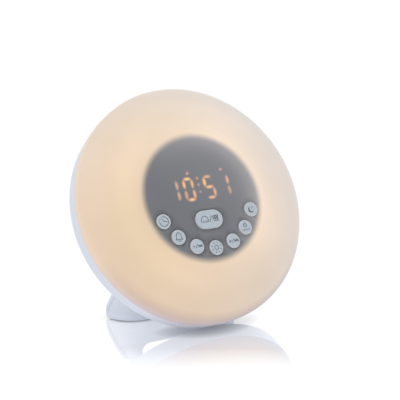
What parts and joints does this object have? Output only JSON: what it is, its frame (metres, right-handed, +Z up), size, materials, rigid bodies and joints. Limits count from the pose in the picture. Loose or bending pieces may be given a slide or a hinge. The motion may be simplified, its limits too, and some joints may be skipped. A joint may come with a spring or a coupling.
{
  "type": "sunrise alarm clock",
  "caption": "Round wake-up light with a domed translucent diffuser, a lit clock display and an arc of push buttons, leaning back on a bracket plugged into its rear shell.",
  "frame": {"origin": "on the table under the middle of the clock’s bounding box", "axes": "+X to the right seen from the front, +Y to the back, +Z up"},
  "size_m": [0.17, 0.106, 0.157],
  "materials": {
    "diffuser": "satin translucent",
    "shell": "glossy",
    "reflector": "matte",
    "board_white": "matte",
    "led": "glossy",
    "panel": "matte",
    "display_black": "matte",
    "lit": "lit",
    "unlit": "glossy",
    "board_green": "satin",
    "black_plastic": "matte",
    "capacitor": "sleeved",
    "ribbon": "matte",
    "basket": "satin",
    "magnet": "bare",
    "cone": "matte",
    "lead": "satin",
    "pin_metal": "bright",
    "contact": "bright",
    "cell": "printed sleeve",
    "screw": "plated",
    "keycap": "satin",
    "plunger": "matte",
    "pad": "matte"
  },
  "bodies": {
    "case": {"diffuser_dome": "diffuser", "rear_shell": "shell", "reflector_frame": "reflector", "light_board": "board_white", "light_leds": "led", "display_mask": "panel", "display_module": "display_black", "lit_segments": "lit", "dark_segments": "unlit", "button_board": "board_green", "switch_cases": "black_plastic", "main_board": "board_green", "board_chips": "black_plastic", "board_capacitors": "capacitor", "ribbon_cable": "ribbon", "speaker_basket": "basket", "speaker_magnet": "magnet", "speaker_cone": "cone", "speaker_leads": "lead", "power_jack": "black_plastic", "power_jack_pin": "pin_metal", "battery_contacts": "contact", "backup_cells": "cell", "case_screws": "screw", "mask_screws": "screw", "board_screws": "screw", "speaker_screws": "screw"},
    "clock_key": {"clock_button": "keycap", "clock_plunger": "plunger"},
    "alarm_key": {"alarm_button": "keycap", "alarm_plunger": "plunger"},
    "back_key": {"back_button": "keycap", "back_plunger": "plunger"},
    "light_key": {"light_button": "keycap", "light_plunger": "plunger"},
    "forward_key": {"forward_button": "keycap", "forward_plunger": "plunger"},
    "timer_key": {"timer_button": "keycap", "timer_plunger": "plunger"},
    "night_key": {"night_button": "keycap", "night_plunger": "plunger"},
    "snooze_key": {"snooze_button": "keycap", "snooze_plunger": "plunger"},
    "door": {"battery_door": "shell"},
    "stand": {"stand_bracket": "shell", "stand_pads": "pad"}
  },
  "joints": [
    {"name": "clock_press", "type": "slide", "parent": "case", "child": "clock_key", "axis": [0, 0.8738, -0.4863], "range_m": [0, 0.0006], "stiffness_N_per_m": 2600},
    {"name": "alarm_press", "type": "slide", "parent": "case", "child": "alarm_key", "axis": [0, 0.8738, -0.4863], "range_m": [0, 0.0006], "stiffness_N_per_m": 2600},
    {"name": "back_press", "type": "slide", "parent": "case", "child": "back_key", "axis": [0, 0.8738, -0.4863], "range_m": [0, 0.0006], "stiffness_N_per_m": 2600},
    {"name": "light_press", "type": "slide", "parent": "case", "child": "light_key", "axis": [0, 0.8738, -0.4863], "range_m": [0, 0.0006], "stiffness_N_per_m": 2600},
    {"name": "forward_press", "type": "slide", "parent": "case", "child": "forward_key", "axis": [0, 0.8738, -0.4863], "range_m": [0, 0.0006], "stiffness_N_per_m": 2600},
    {"name": "timer_press", "type": "slide", "parent": "case", "child": "timer_key", "axis": [0, 0.8738, -0.4863], "range_m": [0, 0.0006], "stiffness_N_per_m": 2600},
    {"name": "night_press", "type": "slide", "parent": "case", "child": "night_key", "axis": [0, 0.8738, -0.4863], "range_m": [0, 0.0006], "stiffness_N_per_m": 2600},
    {"name": "snooze_press", "type": "slide", "parent": "case", "child": "snooze_key", "axis": [0, 0.8738, -0.4863], "range_m": [0, 0.0006], "stiffness_N_per_m": 2600},
    {"name": "door_hinge", "type": "hinge", "parent": "case", "child": "door", "pos_m": [0, 0.02416, 0.058], "axis": [1, 0, 0], "range_deg": [0, 95]},
    {"name": "stand_plug", "type": "slide", "parent": "case", "child": "stand", "axis": [0, 0.8738, -0.4863], "range_m": [0, 0.012]}
  ]
}
